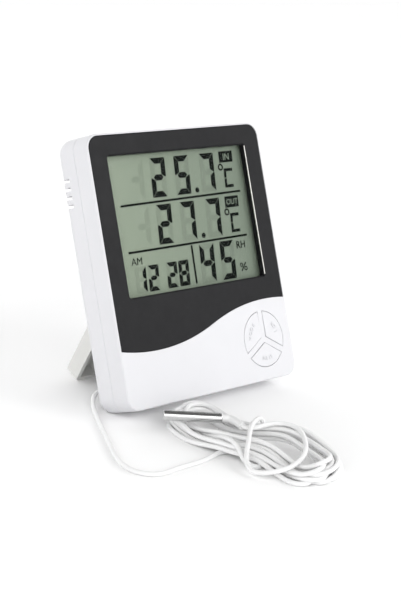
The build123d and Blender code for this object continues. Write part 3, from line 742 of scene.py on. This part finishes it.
def celsius(left, bottom, tall):
    """A ring and an angular C made of four bars."""
    wide, stroke = 5.1, 1.3
    middle = tall / 2
    bars = [
        [(0.9, tall), (wide, tall), (wide, tall - stroke), (stroke + 0.25, tall - stroke)],
        [(0, tall), (0.7, tall), (stroke, tall - 0.45), (stroke, middle + 0.15), (0, middle + 0.15)],
        [(0, 0), (0.7, 0), (stroke, 0.45), (stroke, middle - 0.15), (0, middle - 0.15)],
        [(0.9, 0), (wide, 0), (wide, stroke), (stroke + 0.25, stroke)],
    ]
    outlines = [[(left + x + z * SLANT, bottom + z) for x, z in bar] for bar in bars]
    return outlines + ring((left - 1.1, bottom + tall + 0.7), 1.5, 0.85)


def on_display(name, outlines, front, material):
    """Outlines printed on the display glass, as a piece of the case."""
    add_piece(name, drawn(name, outlines, front, INK_BACK), material, "case")


def display_pieces():
    """Digits, ghosts of the bars that are off, rules, boxes and labels, between the lens and the glass."""
    ink, ghost, light = display_ink().material, display_ghost().material, display_light().material
    shown, unlit = [], []
    for figure, left, bottom, size in PLACES:
        on = SEGMENTS[figure]
        off = [letter for letter in "abcdefg" if letter not in on]
        shown += digit(on, left, bottom, **size)
        unlit += digit(off, left, bottom, **size)
    for left, bottom in MINUS_PLACES:
        unlit += digit("gbc", left, bottom, **BIG)
    shown += [circle(place, POINT_RADIUS) for place in POINT_PLACES]
    on_display("display_digits", shown, INK_FRONT, ink)
    on_display("display_ghosts", unlit, GHOST_FRONT, ghost)

    rules = [
        stroke_line((-33.2, 80.7), (36.2, 81.4), 0.9),
        stroke_line((-33.0, 61.8), (35.9, 62.4), 0.9),
        stroke_line((2.2, 61.3), (1.8, 45.4), 0.95),
    ]
    on_display("display_rules", rules, INK_FRONT, ink)

    signs = celsius(27.7, 83.4, 8.2) + celsius(27.2, 64.2, 8.2)
    signs += ring((29.7, 50.0), 0.95, 0.5, 16) + ring((32.1, 48.3), 0.95, 0.5, 16)
    signs += [stroke_line((29.4, 47.4), (32.5, 50.9), 0.5)]
    on_display("display_signs", signs, INK_FRONT, ink)

    boxes = [
        [(26.4, 94.2), (34.6, 94.2), (34.9, 99.0), (26.7, 99.0)],
        [(25.7, 74.9), (33.9, 74.9), (34.2, 79.7), (26.0, 79.7)],
    ]
    on_display("display_boxes", boxes, BOX_FRONT, ink)

    labels = []
    for text, size, weight, left, bottom, material in (
        ("IN", 4.0, 0.0, 28.6, 95.2, light),
        ("OUT", 3.3, 0.0, 26.5, 76.2, light),
        ("AM", 4.3, 0.0, -32.5, 56.6, ink),
        ("RH", 4.3, 0.06, 28.2, 57.2, ink),
    ):
        mesh = lettered(text, size, INK_FRONT, LETTER_BACK, slant=LABEL_SLANT, weight=weight)
        mesh.transform(front_place((INK_FRONT + LETTER_BACK) / 2) @ Matrix.Translation((left, bottom, 0)))
        labels.append((mesh, material))
    for name, material in (("display_box_labels", light), ("display_labels", ink)):
        mesh = joined(name, [m for m, used in labels if used == material])
        add_piece(name, mesh, material, "case")


# ---------------------------------------------------------------- on the front

# A painted highlight: a thin bright strip where light glints along the window's right edge.
WINDOW_HIGHLIGHT_STRIP = [(39.1, 44.6), (39.5, 44.6), (39.5, 100.2), (39.1, 100.2)]
HIGHLIGHT_STRIP_FRONT, HIGHLIGHT_STRIP_BACK = 0.08, 0.5
BUTTON_CENTRE = (32.0, 17.5)
WORD_SIZE = 2.3
WORD_RADIUS = 8.3
WORD_STEP = 14.0
HALF_CAPITAL = 0.35
WORD_FRONT, WORD_BACK = -0.5, 0.1
WORDS = (("MODE", 150, "mode_button"), ("ADJ", 30, "adjust_button"), ("MEM", 270, "memory_button"))


def curved_word(word, angle):
    """Raised letters on an arc round the buttons' centre, feet inwards above it and outwards below it."""
    side = 1 if angle > 180 else -1
    radius = WORD_RADIUS + side * WORD_SIZE * HALF_CAPITAL
    letters = []
    for i, letter in enumerate(word):
        turn = math.radians(angle + side * WORD_STEP * (i - (len(word) - 1) / 2))
        mesh = lettered(letter, WORD_SIZE, WORD_FRONT, WORD_BACK)
        reach = [vertex.co.x for vertex in mesh.vertices]
        spot = (BUTTON_CENTRE[0] + radius * math.cos(turn), BUTTON_CENTRE[1] + radius * math.sin(turn), 0)
        place = Matrix.Translation(spot) @ Matrix.Rotation(turn + side * math.pi / 2, 4, "Z")
        centred = Matrix.Translation((-(min(reach) + max(reach)) / 2, 0, 0))
        mesh.transform(front_place((WORD_FRONT + WORD_BACK) / 2) @ place @ centred)
        letters.append(mesh)
    return joined(f"{word.lower()}_letters", letters)


def front_details(finishes):
    """A painted highlight, a bright strip down the window's right edge, and the words on the buttons."""
    # The bright strip is painted light, the glint along the window's right edge.
    highlight_strip = drawn("window_painted_highlight", [WINDOW_HIGHLIGHT_STRIP], HIGHLIGHT_STRIP_FRONT, HIGHLIGHT_STRIP_BACK)
    add_piece("window_painted_highlight", highlight_strip, finishes["bright_metal"], "case")
    for word, angle, body in WORDS:
        mesh = curved_word(word, angle)
        add_piece(mesh.name, mesh, finishes["button_plastic"], body)


# ---------------------------------------------------------------- the cord


def eased(table, along):
    """A value that runs smoothly from one pair of the table to the next."""
    for (start, low), (end, high) in zip(table, table[1:]):
        if along <= end:
            share = min(max((along - start) / (end - start), 0), 1)
            return low + (high - low) * share * share * (3 - 2 * share)
    return table[-1][1]


def wander(turn, along, pace):
    """A strand's own slow wander to the sides, different in every turn."""
    return WANDER * math.sin(WANDER_WAVE * along * pace + WANDER_TURN * turn + WANDER_SIDE * pace)


def near_strand(turn, along):
    """Across and up for a turn's strand on the viewer's side, in layers, each nested in the one below."""
    layer, column = divmod(turn - 1, NEAR_COLUMNS) if turn else (0, ENTRY_COLUMN)
    across = eased(NEAR_EDGE, along) + eased(NEAR_PITCH, along) * (column + NEAR_NEST * layer)
    up = FLOOR_REST + NEAR_LAYER * layer + eased(NEAR_RISE, along) * column + eased(HUMP, along)
    return across + wander(turn, along, 1.0), up


def far_strand(turn, along):
    """The same on the far side."""
    layer, column = divmod(turn, FAR_COLUMNS)
    across = eased(FAR_EDGE, along) - eased(FAR_PITCH, along) * (column + FAR_NEST * layer)
    up = FLOOR_REST + FAR_LAYER * layer + eased(FAR_RISE, along) + eased(HUMP, along)
    return across + wander(turn, along, 1.4), up


def right_fold(turn):
    """The fold at the right end, from a turn's near strand to its far one."""
    tip = RIGHT_TIP - RIGHT_TIP_STEP * (turn % TIP_STEPS) - TIP_WANDER * math.sin(2.1 * turn + 0.5)
    (near, near_up), (far, far_up) = near_strand(turn, RIGHT_FOLD), far_strand(turn, RIGHT_FOLD_FAR)
    middle, half = (near + far) / 2, (far - near) / 2
    points = []
    for out, side in RIGHT_BEND:
        up = near_up + (RIGHT_FOLD_DIP * far_up - near_up) * (side + 1) / 2 + FOLD_LIFT * turn * (1 - side**2)
        points.append((RIGHT_FOLD + (tip - RIGHT_FOLD) * out, middle + side * half, up))
    return points


def left_fold(turn):
    """The round fold at the left end, from a turn's far strand to the next turn's near one."""
    tip = LEFT_TIP + LEFT_TIP_STEP * (turn % TIP_STEPS) + TIP_WANDER * math.sin(1.7 * turn + 2.0)
    (far, far_up), (near, near_up) = far_strand(turn, LEFT_FOLD), near_strand(turn + 1, LEFT_FOLD)
    middle, half = (far + near) / 2, (far - near) / 2
    base = tip + LEFT_BEND_BASE * half
    points = []
    for out, side in LEFT_BEND:
        up = far_up + (near_up - far_up) * (1 - side) / 2 + FOLD_LIFT * turn * max(0, 1 - side**2)
        points.append((base + (tip - base) * out, middle + side * half, up))
    return points


def hank_turn(turn):
    """One turn's points: the near run, the right fold, the far run and the left fold."""
    near = [(along, *near_strand(turn, along)) for along in RUN_PLACES] if turn else list(ENTRY)
    far = [(along, *far_strand(turn, along)) for along in reversed(RUN_PLACES)]
    return near + right_fold(turn) + far + left_fold(turn)


def hank_points():
    """The whole hank before it settles, from the route's last point to the probe's sleeve."""
    points = [point for turn in range(HANK_TURNS) for point in hank_turn(turn)]
    points += [(along, *near_strand(HANK_TURNS, along)) for along in LAST_RUN_PLACES]
    points += TIE_UNDER + TIE_OVER + TIE_ARC
    forward = (HANK_RIGHT - HANK_LEFT).normalized()
    sideways = Vector((-forward.y, forward.x))
    places = [Vector(CORD_ROUTE[-1]) / MM]
    for along, across, up in points:
        flat = HANK_LEFT + forward * along + sideways * across
        places.append(Vector((flat.x, flat.y, up)))
    return places


def hank_line(points, steps=10):
    """The hank as one smooth line before it settles, through the middles between its points."""
    places = np.array(points)
    middles = (places[:-1] + places[1:]) / 2
    middles[0], middles[-1] = places[0], places[-1]
    share = np.linspace(0, 1, steps, endpoint=False)[:, None]
    pieces = [
        (1 - share) ** 2 * start + 2 * share * (1 - share) * bend + share**2 * end
        for start, bend, end in zip(middles, places[1:-1], middles[1:])
    ]
    return np.concatenate(pieces + [middles[-1:]])


def evenly(line, step):
    """Places a step apart along the hank's line."""
    lengths = np.linalg.norm(np.diff(line, axis=0), axis=1)
    along = np.concatenate([[0], np.cumsum(lengths)])
    wanted = np.linspace(0, along[-1], round(along[-1] / step) + 1)
    return np.stack([np.interp(wanted, along, line[:, axis]) for axis in range(3)], axis=1)


def close_pairs(places, reach):
    """Pairs of places nearer than a reach, apart from neighbours along the cord."""
    squares = (places**2).sum(axis=1)
    gaps = squares[:, None] + squares[None, :] - 2 * places @ places.T
    return np.nonzero(np.triu(gaps < reach**2, NEIGHBOURS))


def pushed_apart(places, first, second, spacing):
    """Each pair that is too close moves apart by what it lacks, and less where many push at once."""
    apart = places[first] - places[second]
    gap = np.linalg.norm(apart, axis=1) + 1e-9
    push = apart / gap[:, None] * (np.clip(spacing - gap, 0, None) / 2)[:, None]
    pushed = gap < spacing
    moves = np.zeros_like(places)
    np.add.at(moves, first[pushed], push[pushed])
    np.add.at(moves, second[pushed], -push[pushed])
    touches = np.bincount(np.concatenate([first[pushed], second[pushed]]), minlength=len(places))
    return places + moves / np.maximum(1, SHARED_PUSH * touches)[:, None]


def settled(start, spacing):
    """The strands pushed apart until they lie beside and on each other, with both ends held."""
    order = np.arange(len(start))
    held = np.clip(np.maximum(HELD_END - order, order - (len(start) - 1 - HELD_END)) / HELD_END, 0, 1)
    places = start.copy()
    for turn in range(SETTLE_ROUNDS):
        if turn % SEARCH_EVERY == 0:
            first, second = close_pairs(places, SEARCH_REACH * spacing)
        if turn < SINKING_SHARE * SETTLE_ROUNDS:
            places[:, 2] -= SETTLE_SINK
        for _ in range(2):
            places = pushed_apart(places, first, second, spacing)
        places[:, 2] = np.maximum(places[:, 2], FLOOR_REST)
        moved = places - start
        for _ in range(3):
            moved[1:-1] += SMOOTHING * (moved[:-2] + moved[2:] - 2 * moved[1:-1])
        moved[:, :2] *= np.minimum(1 - held, DRIFT_KEPT)[:, None]
        moved[:, 2] *= 1 - held
        places = start + moved
        places[:, 2] = np.maximum(places[:, 2], FLOOR_REST)
    return places


def nurbs_cord(name, points, radius):
    """One open smooth curve through the air near its control points."""
    curve = bpy.data.curves.new(name, "CURVE")
    curve.dimensions = "3D"
    curve.bevel_depth = radius
    curve.bevel_resolution = 4
    curve.resolution_u = 3
    curve.use_fill_caps = True
    spline = curve.splines.new("NURBS")
    spline.points.add(len(points) - 1)
    for point, place in zip(spline.points, points):
        point.co = (*place, 1)
    spline.order_u = 3
    spline.use_endpoint_u = True
    piece = bpy.data.objects.new(name, curve)
    bpy.context.scene.collection.objects.link(piece)
    return piece


def probe_cord(material):
    """The free cord: its route along the table, then the hank's turns and tie, to the probe's sleeve."""
    hank = settled(evenly(hank_line(hank_points()), SETTLE_STEP), HANK_SPACING)
    turns_and_tie = [tuple(place * MM) for place in hank[::2]]
    piece = nurbs_cord("cord", CORD_ROUTE[:-1] + turns_and_tie, CORD_RADIUS)
    piece.data.materials.append(material)
    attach(piece, "case")
    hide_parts("probe_cord", "cord_hank")


# ---------------------------------------------------------------- camera, floor and light


def add_camera():
    data = bpy.data.cameras.new("camera")
    data.lens = CAMERA_LENS
    data.sensor_width = 36.0
    data.shift_y = CAMERA_SHIFT
    camera = bpy.data.objects.new("camera", data)
    bpy.context.scene.collection.objects.link(camera)
    turn = (CAMERA_PLACE - CAMERA_AIM).to_track_quat("Z", "Y").to_matrix().to_4x4()
    camera.matrix_world = Matrix.Translation(CAMERA_PLACE) @ turn @ Matrix.Rotation(CAMERA_ROLL, 4, "Z")
    bpy.context.scene.camera = camera


def add_floor():
    half = FLOOR_SIZE / 2
    mesh = bpy.data.meshes.new("floor")
    corners = [(-half, -half, 0), (half, -half, 0), (half, half, 0), (-half, half, 0)]
    mesh.from_pydata(corners, [], [(0, 1, 2, 3)])
    floor = bpy.data.objects.new("floor", mesh)
    bpy.context.scene.collection.objects.link(floor)
    finish = Finish("floor", (0.98, 0.98, 0.98, 1.0), 0.9, specular=0.0)
    finish.mottled(8, 0.003)
    mesh.materials.append(finish.material)


def add_light(name, place, aim, size, power):
    """A round soft light that faces a point."""
    data = bpy.data.lights.new(name, "AREA")
    data.shape = "DISK"
    data.size = size
    data.energy = power
    light = bpy.data.objects.new(name, data)
    bpy.context.scene.collection.objects.link(light)
    turn = (Vector(place) - Vector(aim)).to_track_quat("Z", "Y").to_matrix().to_4x4()
    light.matrix_world = Matrix.Translation(place) @ turn


def add_room():
    """A white room, dark overhead, which draws the dark line along the steel probe."""
    world = bpy.data.worlds.new("room")
    bpy.context.scene.world = world
    world.use_nodes = True
    nodes, links = world.node_tree.nodes, world.node_tree.links
    direction = nodes.new("ShaderNodeSeparateXYZ")
    ramp = nodes.new("ShaderNodeValToRGB")
    low, high = ramp.color_ramp.elements
    low.position, low.color = ROOM_WHITE_BELOW, (1, 1, 1, 1)
    high.position, high.color = ROOM_DARK_ABOVE, (0.1, 0.1, 0.1, 1)
    links.new(nodes.new("ShaderNodeTexCoord").outputs["Generated"], direction.inputs["Vector"])
    links.new(direction.outputs["Z"], ramp.inputs["Fac"])
    links.new(ramp.outputs["Color"], nodes["Background"].inputs["Color"])
    nodes["Background"].inputs["Strength"].default_value = ROOM_STRENGTH


def add_lights():
    """Two soft lights in front of the case and above it, left and right, the stronger at the right."""
    add_light("key", (-0.6, -1.0, 0.6), (0, 0, 0.04), 0.4, 1.0)
    add_light("fill", (0.6, -1.0, 0.6), (0, 0, 0.04), 0.6, 3.0)


finishes = dress_nodes()
add_camera()
probe_cord(finishes["cord_jacket"])
display_pieces()
front_details(finishes)
add_floor()
add_room()
add_lights()
bpy.context.scene.view_settings.view_transform = "Standard"
